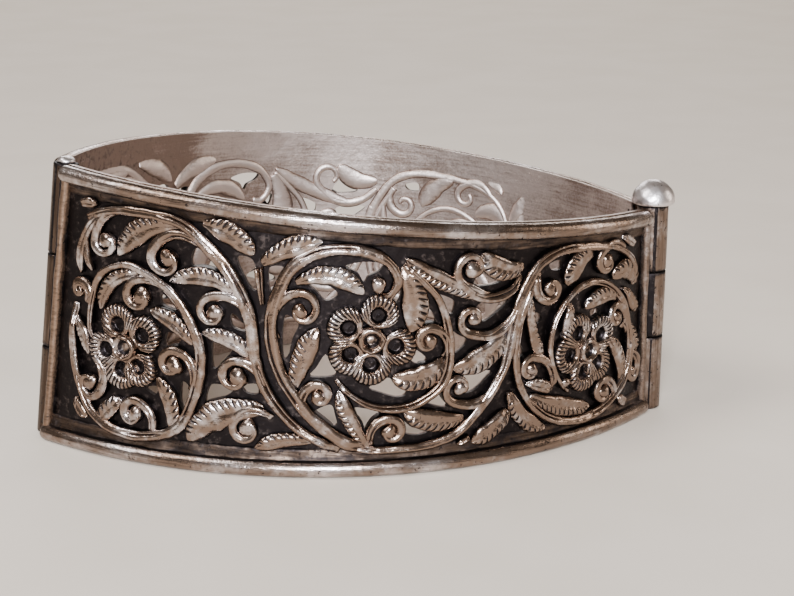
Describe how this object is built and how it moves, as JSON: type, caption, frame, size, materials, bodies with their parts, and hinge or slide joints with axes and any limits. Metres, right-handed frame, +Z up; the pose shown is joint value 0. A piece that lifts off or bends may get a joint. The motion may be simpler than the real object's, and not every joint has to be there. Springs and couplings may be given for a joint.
{
  "type": "hinged bangle",
  "caption": "Tapered oval hinged bangle, pierced and chased with scrolling foliage and flowers, closed by a domed lift-out pin.",
  "frame": {"origin": "centre of the outline box, on the surface that the lower rim rests on", "axes": "+Z up, out through the upper rim; -Y towards the flatter front half that the picture shows; +X towards the clasp"},
  "size_m": [0.0685, 0.0469, 0.0296],
  "materials": {
    "chased_silver": "chased, with dark oxidation in the recesses",
    "pin_silver": "worn bright"
  },
  "bodies": {
    "back": {"back_half": "chased_silver", "hinge_pin": "pin_silver"},
    "front": {"front_half": "chased_silver"},
    "pin": {"clasp_pin": "pin_silver"}
  },
  "joints": [
    {"name": "hinge_open", "type": "hinge", "parent": "back", "child": "front", "pos_m": [-0.03136, -0.00601, 0.0146], "axis": [-0.1045, 0, -0.9945], "range_deg": [0, 70]},
    {"name": "clasp_pin_lift", "type": "slide", "parent": "back", "child": "pin", "axis": [0, 0, 1], "range_m": [0, 0.026]}
  ]
}
